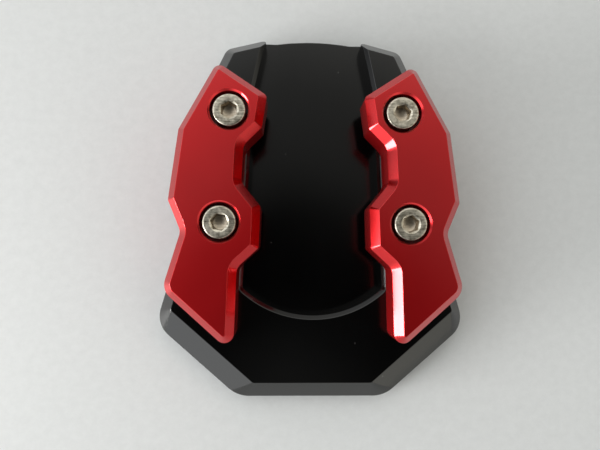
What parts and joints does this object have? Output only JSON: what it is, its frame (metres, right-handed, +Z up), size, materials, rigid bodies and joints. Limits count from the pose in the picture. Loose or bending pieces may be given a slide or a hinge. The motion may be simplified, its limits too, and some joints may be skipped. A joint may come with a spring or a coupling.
{
  "type": "kickstand foot enlarger",
  "caption": "Bevelled plate with a milled pocket for a motorcycle side stand's foot, gripped by screwed-on clamps with faceted outlines.",
  "frame": {"origin": "centre of the part's footprint, on the plane that it lies on", "axes": "+Z up from the underside, +Y towards the pocket's open mouth, +X to the right seen from above with the mouth at the top"},
  "size_m": [0.0846, 0.102, 0.0204],
  "materials": {
    "plate_black": "black anodised, satin",
    "clamp_red": "red anodised, satin",
    "screw_steel": "plain stainless, turned"
  },
  "bodies": {
    "root": {"foot_plate": "plate_black", "clamp_left": "clamp_red", "clamp_right": "clamp_red", "screw_front_left": "screw_steel", "screw_front_right": "screw_steel", "screw_rear_left": "screw_steel", "screw_rear_right": "screw_steel"}
  },
  "joints": []
}
